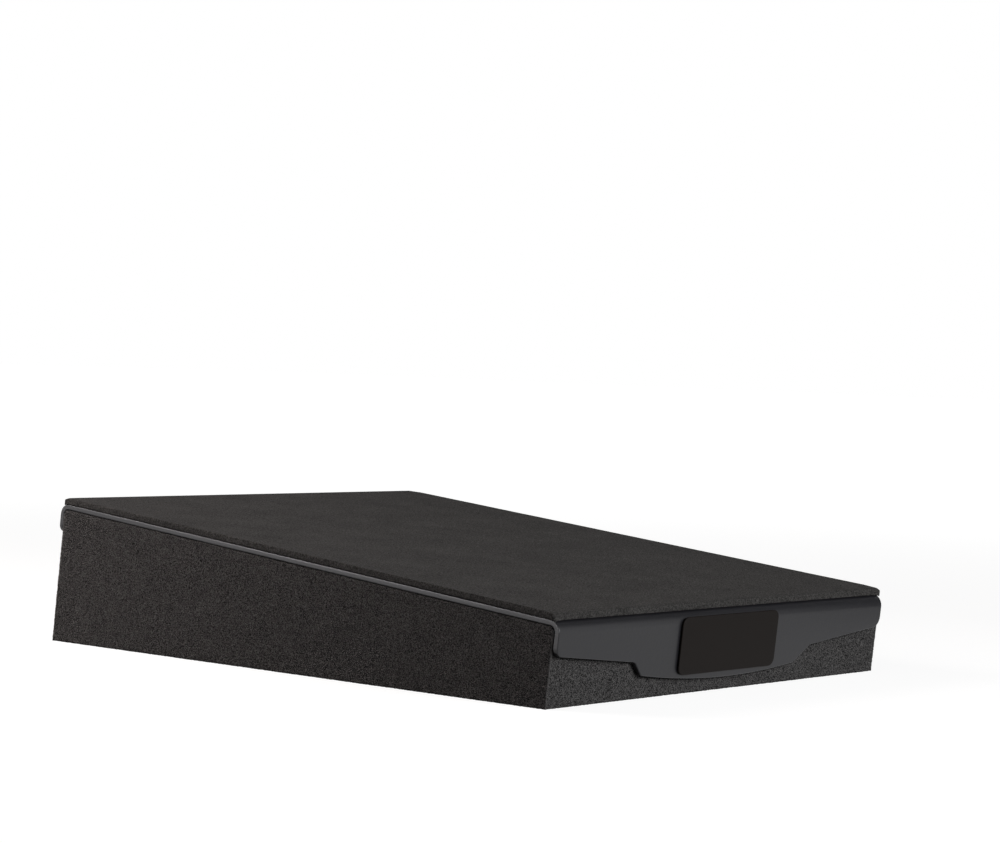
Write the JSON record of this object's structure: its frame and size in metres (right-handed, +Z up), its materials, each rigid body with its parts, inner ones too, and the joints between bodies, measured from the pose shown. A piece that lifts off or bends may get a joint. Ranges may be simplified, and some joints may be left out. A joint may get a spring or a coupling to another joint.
{
  "type": "speaker isolation pad",
  "caption": "Sloping isolation pad: charcoal foam wedge under a folded dark steel plate with a shaped front lip, a thin non-slip sheet on top and a bare badge.",
  "frame": {"origin": "on the ground under the middle of the pad, at the centre of its footprint box", "axes": "+Z up, -Y towards the front lip, +Y towards the thick back end, +X to the right seen from the front"},
  "size_m": [0.261, 0.3334, 0.0737],
  "materials": {
    "foam": "open-cell charcoal polyurethane foam, matt and finely pitted",
    "powder_coat": "satin dark grey powder coat",
    "non_slip_sheet": "matt charcoal cellular rubber",
    "badge": "near-black semi-gloss, bare"
  },
  "bodies": {
    "root": {"foam_base": "foam", "steel_plate": "powder_coat", "top_sheet": "non_slip_sheet", "badge_plate": "badge"}
  },
  "joints": []
}
